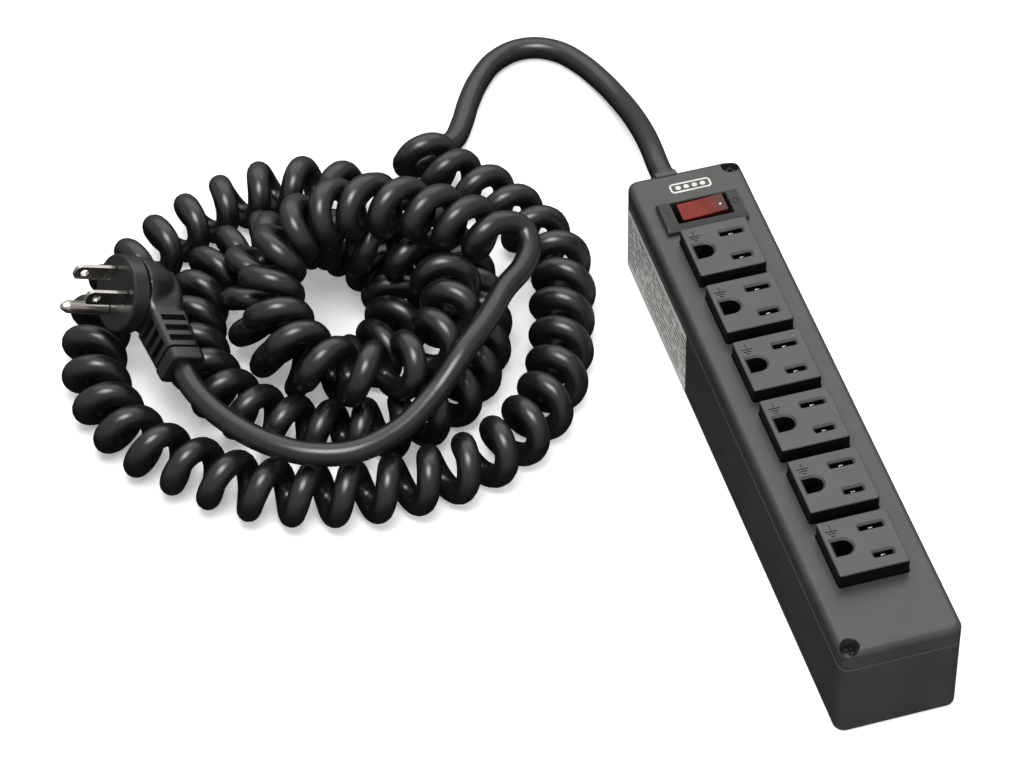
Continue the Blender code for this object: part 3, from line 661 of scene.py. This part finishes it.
def carve(mesh, tools, operation="DIFFERENCE"):
    """Cuts the tools, which don't overlap each other, out of the mesh, or adds them to it."""
    part, tool = as_object(mesh), as_object(joined(tools))
    modifier = part.modifiers.new("carve", "BOOLEAN")
    modifier.operation = operation
    modifier.object = tool
    result = evaluated(part)
    bpy.data.objects.remove(tool)
    return result


def bevelled(mesh, width, segments, angle=40):
    part = as_object(mesh)
    modifier = part.modifiers.new("edges", "BEVEL")
    modifier.width = width * MM
    modifier.segments = segments
    modifier.angle_limit = math.radians(angle)
    return evaluated(part)


SHARP_ANGLE = math.radians(32)    # edges that turn more than this are not shaded smooth


def place(name, mesh, surface, body="strip", stands_for=()):
    """Makes a piece of the mesh: its finish, its shading, the body it rides on."""
    mesh.materials.clear()
    mesh.materials.append(surface.material)
    mesh.shade_smooth()
    mesh.set_sharp_from_angle(angle=SHARP_ANGLE)
    piece = as_object(mesh)
    piece.name = name
    normals = piece.modifiers.new("normals", "WEIGHTED_NORMAL")
    normals.keep_sharp = True
    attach(piece, body)
    if stands_for:
        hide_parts(*stands_for)


# ---- Housing ----

def body_outline(grow):
    return rounded_rect(symmetric(HALF_WIDTH), symmetric(HALF_LENGTH), CORNER_RADIUS, grow, 8)


def make_base(surface):
    """The lower shell: hollow, with two screw posts, the cord's hole and the label's recess."""
    rings = [(body_outline(grow), z) for grow, z in
             [(-BASE_EDGE_RADIUS * (1 - math.sin(a)), BASE_EDGE_RADIUS * (1 - math.cos(a)))
              for a in (math.pi / 12 * k for k in range(7))]]
    rings += [(body_outline(0), PARTING_Z - JOINT_CHAMFER),
              (body_outline(-JOINT_CHAMFER), PARTING_Z)]
    inside = stack([(rounded_rect(symmetric(HALF_WIDTH - WALL), symmetric(HALF_LENGTH - WALL),
                                  CORNER_RADIUS - WALL), z) for z in (FLOOR, PARTING_Z + 5)])
    base = carve(stack(rings), [inside])
    bosses = [stack([(circle(x, y, 3.2), FLOOR / 2), (circle(x, y, 3.2), PARTING_Z)])
              for x, y in SCREW_PLACES]
    base = carve(base, bosses, "UNION")
    holes = [stack([(circle(x, y, 1.7, 24), 16), (circle(x, y, 1.7, 24), PARTING_Z + 2)])
             for x, y in SCREW_PLACES]
    grip_hole = stack([(circle(0, 0, GRIP_HOLE_RADIUS), -8), (circle(0, 0, GRIP_HOLE_RADIUS), 8)])
    turn = Matrix.Translation((0, HALF_LENGTH * MM, CORD_EXIT.z)) @ Matrix.Rotation(
        math.pi / 2, 4, "X")
    recess = block((-HALF_WIDTH - 1, -HALF_WIDTH + LABEL_THICKNESS + 0.3),
                   (LABEL_Y[0] - 0.3, LABEL_Y[1] + 0.3), (LABEL_Z[0] - 0.3, LABEL_Z[1] + 0.3), 0.3)
    base = carve(base, [*holes, moved(grip_hole, turn), recess])
    place("base_shell", base, surface, stands_for=["bottom_housing"])


def make_cover(surface):
    """The upper shell: a lip at its far end, openings for outlets and switch, screw bores."""
    low = PARTING_Z + JOINT_GAP
    rings = [(body_outline(-JOINT_CHAMFER / 2), low)]
    rings += rounded_top(body_outline, low + JOINT_CHAMFER / 2, COVER_TOP_Z, COVER_EDGE_RADIUS, 10)
    lip = stack(rounded_top(lambda grow: rounded_rect((-10.6, -2.2), (118, 120.4), 0.5, grow),
                            38, COVER_TOP_Z + 0.4, 0.4, 4))
    cover = carve(stack(rings), [lip], "UNION")
    inside = block(symmetric(HALF_WIDTH - WALL), symmetric(111), (28, COVER_TOP_Z - WALL), 1.8)
    cover = carve(cover, [inside])
    openings = [stack([(rounded_rect(symmetric(OUTLET_HALF[0] + 0.3),
                                     about(y, OUTLET_HALF[1] + 0.3), 1.0), z)
                       for z in (30, COVER_TOP_Z + 2)]) for y in OUTLET_Y]
    openings.append(block(symmetric(12.8), (88.4, 102.2), (30, COVER_TOP_Z + 2)))
    for x, y in SCREW_PLACES:
        seat = COVER_TOP_Z - BORE_DEPTH
        openings.append(stack([(circle(x, y, 1.7), 30), (circle(x, y, 1.7), seat),
                               (circle(x, y, BORE_RADIUS), seat),
                               (circle(x, y, BORE_RADIUS), COVER_TOP_Z - 0.25),
                               (circle(x, y, BORE_RADIUS + 0.5), COVER_TOP_Z + 0.25)]))
    place("cover_shell", carve(cover, openings), surface, stands_for=["top_cover"])


def make_screws(surface):
    """Cross-head screws, each turned a little differently, deep in their bores."""
    head = stack([(circle(0, 0, r), z) for r, z in
                  ((0.3, -20.5), (1.35, -19), (1.35, 0), (2.8, 0), (2.8, 0.7), (2.65, 1.1),
                   (2.2, 1.4), (1.4, 1.6), (0.5, 1.65))])
    cross = [block(symmetric(1.7), symmetric(0.32), (0.6, 3)),
             block(symmetric(0.32), (0.33, 1.7), (0.6, 3)),
             block(symmetric(0.32), (-1.7, -0.33), (0.6, 3))]
    head = carve(head, cross)
    seat = COVER_TOP_Z - BORE_DEPTH + 0.3
    for i, (x, y) in enumerate(SCREW_PLACES):
        screw = moved(head.copy(), Matrix.Translation(Vector((x, y, seat)) * MM)
                      @ Matrix.Rotation(0.5 + i, 4, "Z"))
        place(f"screw_{i + 1}", screw, surface, stands_for=[f"cover_screw_{i + 1}"])


def make_printed_mark(surface):
    """A plain pictogram of a strip: a long frame with round outlets in it."""
    def frame_outline(grow):
        return rounded_rect(symmetric(8), symmetric(2.5), 1.6, grow)
    bottom, top = COVER_TOP_Z - 0.1, COVER_TOP_Z + 0.06
    mark = stack([(frame_outline(0), bottom), (frame_outline(0), top)])
    hole = stack([(frame_outline(-0.75), bottom - 1), (frame_outline(-0.75), top + 1)])
    mark = carve(mark, [hole])
    dots = [stack([(circle(x, 0, 1.05), bottom), (circle(x, 0, 1.05), top)])
            for x in (-4.8, -1.6, 1.6, 4.8)]
    place("printed_mark", shifted(joined([mark, *dots]), 0.4, 110.6), surface)


def make_label(surface):
    """A thin sheet drawn flat, then stood up in its recess on the -X side."""
    outline = rounded_rect(LABEL_Y, LABEL_Z, 1.0)
    sheet = stack([(outline, 0), (outline, LABEL_THICKNESS)])
    turn = Matrix(((0, 0, -1, (-HALF_WIDTH + LABEL_THICKNESS) * MM), (1, 0, 0, 0), (0, 1, 0, 0),
                   (0, 0, 0, 1)))
    mesh = moved(sheet, turn)
    mesh.flip_normals()
    place("label_sheet", mesh, surface, stands_for=["rating_label"])


# ---- Outlets ----

def slot_outline(x, y):
    return lambda grow: rounded_rect(x, about(y, SLOT_HALF_WIDTH), 0.25, grow, 3)


def earth_mark():
    """The usual earth symbol as grooves: a stem and three bars."""
    depth = (OUTLET_FACE_Z - 0.35, OUTLET_FACE_Z + 1)
    bars = [block(about(-8.8, half), about(y, 0.22), depth)
            for half, y in ((2.2, 7.4), (1.45, 6.3), (0.7, 5.2))]
    return [*bars, block(about(-8.8, 0.22), (7.63, 9.9), depth)]


def make_outlets(surface, contact_surface):
    """Six raised faces, and the tips of the contact leaves that show in their slots."""
    def plate(grow):
        return rounded_rect(symmetric(OUTLET_HALF[0]), symmetric(OUTLET_HALF[1]), 0.9, grow)
    flange = rounded_rect(symmetric(FLANGE_HALF[0]), symmetric(FLANGE_HALF[1]), 0.9)
    rings = [(flange, FLANGE_Z[0]), (flange, FLANGE_Z[1])]
    rings += rounded_top(plate, FLANGE_Z[1], OUTLET_FACE_Z, 0.65, 5)
    tools = [flared(slot_outline(*slot), 30, OUTLET_FACE_Z, SLOT_FLARE) for slot in SLOTS]
    tools.append(flared(earth_outline, 30, OUTLET_FACE_Z, SLOT_FLARE))
    outlet = carve(stack(rings), tools + earth_mark())
    for i, y in enumerate(OUTLET_Y):
        place(f"outlet_face_{i + 1}", shifted(outlet, y=y), surface,
              stands_for=[f"outlet_{i + 1}"])

    tips = []
    for y in OUTLET_Y:
        for (low, high), offset in SLOTS:
            leaf = stack(rounded_top(lambda grow: rounded_rect(
                about((low + high) / 2, 0.9), about(0.3, 0.35), 0.3, grow, 3), 41, 45.9, 0.3, 3))
            tips.append(shifted(leaf, y=y + offset))
    place("contact_tips", joined(tips), contact_surface)


# ---- Switch ----

def make_bezel(surface):
    """A frame with a sloped edge; a bar and a ring mark its two ends."""
    def outline(grow):
        return rounded_rect(BEZEL_X, BEZEL_Y, 0.5, grow, 4)
    low, top = BEZEL_Z
    crown = (BEZEL_X[0] + 0.6, BEZEL_X[1] - 0.6), (BEZEL_Y[0] + 2.3, BEZEL_Y[1] - 1.5)
    bezel = stack([(outline(0), low), (outline(0), top - 1.35), (outline(-0.2), top - 1.1),
                   (rounded_rect(*crown, 0.3, 0.15, 4), top - 0.05),
                   (rounded_rect(*crown, 0.3, 0, 4), top)])
    opening = flared(lambda grow: rounded_rect(symmetric(OPENING_HALF[0]),
                                               about(SWITCH_Y, OPENING_HALF[1]), 0.3, grow, 3),
                     35, top, 0.35)
    ring = carve(stack([(circle(12.9, SWITCH_Y, 1.4, 24), z) for z in (top - 0.3, top + 1)]),
                 [stack([(circle(12.9, SWITCH_Y, 1.0, 24), z) for z in (top - 1, top + 2)])])
    bar = block(about(-13.1, 0.2), about(SWITCH_Y, 1.5), (top - 0.3, top + 1))
    place("bezel_frame", carve(bezel, [opening, ring, bar]), surface, stands_for=["switch_bezel"])


def rocker_top(x):
    return ROCKER_TOP_Z + ROCKER_SLOPE * x + ROCKER_HOLLOW * (x / ROCKER_TOP_X[1]) ** 2


def make_rocker(surface, glint_surface):
    """Drawn about the pivot: a slightly hollow sloping top, then tipped to its rest."""
    left, right = ROCKER_TOP_X
    top = [(x, rocker_top(x)) for x in (right + (left - right) * k / 16 for k in range(17))]
    under = [(left + 0.6, -1), (-2.8, -4), (-2.8, -8), (2.8, -8), (2.8, -4), (right - 1.2, -1)]
    outline = top + under
    slab = bevelled(stack([(outline, -ROCKER_HALF_WIDTH), (outline, ROCKER_HALF_WIDTH)]), 0.5, 4)
    upright = Matrix.Rotation(math.pi / 2, 4, "X")
    pins = moved(stack([(circle(0, 0, 0.9, 24), -6.3), (circle(0, 0, 0.9, 24), 6.3)]), upright)
    bore = stack([(circle(0, 0, 1.9, 24), -12), (circle(0, 0, 1.9, 24), -0.1)])
    rocker = carve(carve(moved(slab, upright), [pins], "UNION"), [bore])
    tip = Matrix.Translation(ROCKER_PIVOT) @ Matrix.Rotation(ROCKER_TILT, 4, "Y")
    place("rocker_paddle", moved(rocker, tip), surface, body="rocker", stands_for=["rocker"])
    # Painted highlight: a pale dot set into the rocker's top where the lamp's glint shows
    face = rocker_top(ROCKER_PAINTED_GLINT[0])
    dot = stack([(circle(*ROCKER_PAINTED_GLINT, 0.45, 20), z) for z in (face - 0.2, face + 0.05)])
    place("rocker_painted_glint", moved(dot, tip), glint_surface, body="rocker")


# ---- Plug and grip ----

def plug_frame():
    """Axes of the plug: X from the earth pin, Y against the cord's way out, Z out of the face."""
    across = -plug_exit_way()
    up = across.cross(PLUG_AXIS)
    rotation = Matrix((up, across, PLUG_AXIS)).transposed()
    return Matrix.Translation(PLUG_FACE) @ rotation.to_4x4()


def make_plug_body(surface):
    """A round rim, a hood that blends into a square neck, and a slotted sleeve for the cord."""
    rim = stack([(circle(0, 0, r, 72), z) for r, z in
                 ((12.6, -7.6), (12.6, -6.4), (14.1, -6.4), (14.5, -6.0), (14.5, -0.9),
                  (14.3, -0.4), (13.8, -0.1), (13.2, 0))])
    hood = stack([(circle(0, 0, r, 48), z) for r, z in
                  ((3, -22.4), (6.5, -21.9), (9.4, -20.3), (11.4, -17.6), (12.7, -14),
                   (13.6, -10.5), (14, -7.3))])
    away = Matrix.Translation((0, 0, -PLUG_EXIT_DEPTH)) @ Matrix.Rotation(math.pi / 2, 4, "X")
    neck = stack([(rounded_rect(symmetric(half), symmetric(half - 0.4), 3.2), z) for half, z in
                  ((9.6, -3), (9.6, 4), (8.9, 9), (7.6, 14), (7.2, 17))])
    body = as_object(carve(hood, [moved(neck, away)], "UNION"))
    remesh = body.modifiers.new("blend", "REMESH")
    remesh.voxel_size = 0.6 * MM
    soften = body.modifiers.new("soften", "SMOOTH")
    soften.factor, soften.iterations = 0.6, 8
    relief = stack([(rounded_rect(symmetric(half), symmetric(half), 2.4), z) for half, z in
                    ((7.4, 15), (7.6, 15.6), (7.4, 20), (6.9, 31.6), (5.9, 31.7), (5.9, 32.7),
                     (7.0, 32.8), (7.2, 33.2), (7.0, 37.2), (6.6, 37.8), (5.6, 38))])
    slot_depth, slot_half, slot_height = (5.2, 9), 5.0, 2.8
    slots = [moved(block(slot_depth, symmetric(slot_half), (z, z + slot_height), 0.2),
                   Matrix.Rotation(math.pi / 2 * side, 4, "Z"))
             for z in (17.2, 22.0, 26.8) for side in range(4)]
    parts = [rim, evaluated(body), moved(carve(relief, slots), away)]
    place("plug_moulding", moved(joined(parts), plug_frame()), surface, stands_for=["plug_body"])


def make_plug_contacts(surface):
    """Two flat blades with a hole near the tip, and a round earth pin with a pointed end."""
    frame_at = plug_frame()
    half, length, corner = 3.1, 16.3, 2.2
    outline = [(-half, 0.3), (half, 0.3)]
    outline += [(side * (half - corner) + corner * math.cos(a), length - corner
                 + corner * math.sin(a)) for side, start in ((1, 0), (-1, math.pi / 2))
                for a in (start + math.pi / 12 * k for k in range(7))]
    blank = stack([(outline, -0.75), (outline, 0.75)])
    blank = carve(blank, [stack([(circle(0, 12.3, 1.6), -3), (circle(0, 12.3, 1.6), 3)])])
    blade = moved(bevelled(blank, 0.18, 2, 60), Matrix.Rotation(math.pi / 2, 4, "X"))
    for side, name in ((1, "hot"), (-1, "neutral")):
        place(f"blade_{name}", moved(shifted(blade, BLADE_X, side * BLADE_Y), frame_at), surface,
              stands_for=[f"plug_blade_{name}"])
    pin = stack([(circle(0, 0, r), z) for r, z in
                 ((2.4, 0.3), (2.4, 16.2), (2.3, 16.8), (1.5, 18.3), (1.1, 18.9), (0.5, 19.25))])
    place("earth_pin", moved(shifted(pin, PIN_X), frame_at), surface,
          stands_for=["plug_ground_pin"])


def make_grip(surface):
    """A collar against the wall and a tapered sleeve with ribs, along +Y."""
    rings = [(7, -5.5), (7, -WALL - 0.3), (5.6, -WALL - 0.3), (5.6, 0.3), (6.6, 0.3), (6.8, 0.6),
             (6.8, 4.6), (6.5, 5)]
    for i in range(4):
        start, radius = 5 + 4 * i, 6.2 - 0.3 * i
        rings += [(radius - 1.2, start + 0.01), (radius - 1.2, start + 1.5), (radius, start + 1.7),
                  (radius + 0.05, start + 2.8), (radius - 0.1, start + 3.9)]
    rings += [(4.7, 21.1), (4.6, 22)]
    grip = stack([(circle(0, 0, r, 56), z) for r, z in rings])
    turn = Matrix.Translation((0, HALF_LENGTH * MM, CORD_EXIT.z)) @ Matrix.Rotation(
        -math.pi / 2, 4, "X")
    place("grip_sleeve", moved(grip, turn), surface, stands_for=["cord_grip"])


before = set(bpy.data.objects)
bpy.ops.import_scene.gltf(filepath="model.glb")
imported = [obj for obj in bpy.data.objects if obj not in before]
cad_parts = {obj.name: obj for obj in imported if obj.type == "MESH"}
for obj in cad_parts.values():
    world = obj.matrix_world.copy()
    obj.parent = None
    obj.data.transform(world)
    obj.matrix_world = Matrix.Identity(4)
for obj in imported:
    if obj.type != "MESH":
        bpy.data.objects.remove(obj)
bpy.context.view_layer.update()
make_camera()
make_world()
make_lights()
make_floor()

SURFACES = make_surfaces()
make_base(SURFACES["housing_plastic"])
make_cover(SURFACES["housing_plastic"])
make_screws(SURFACES["steel"])
make_printed_mark(SURFACES["pale_plastic"])
make_label(SURFACES["label_foil"])
make_outlets(SURFACES["outlet_plastic"], SURFACES["nickel"])
make_bezel(SURFACES["switch_plastic"])
make_rocker(SURFACES["red_rocker"], SURFACES["pale_plastic"])
make_plug_body(SURFACES["cord_pvc"])
make_plug_contacts(SURFACES["nickel"])
make_grip(SURFACES["cord_pvc"])
make_cord(SURFACES["cord_pvc"])
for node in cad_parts.values():
    for slot in node.material_slots:
        slot.material = SURFACES[slot.material.name].material
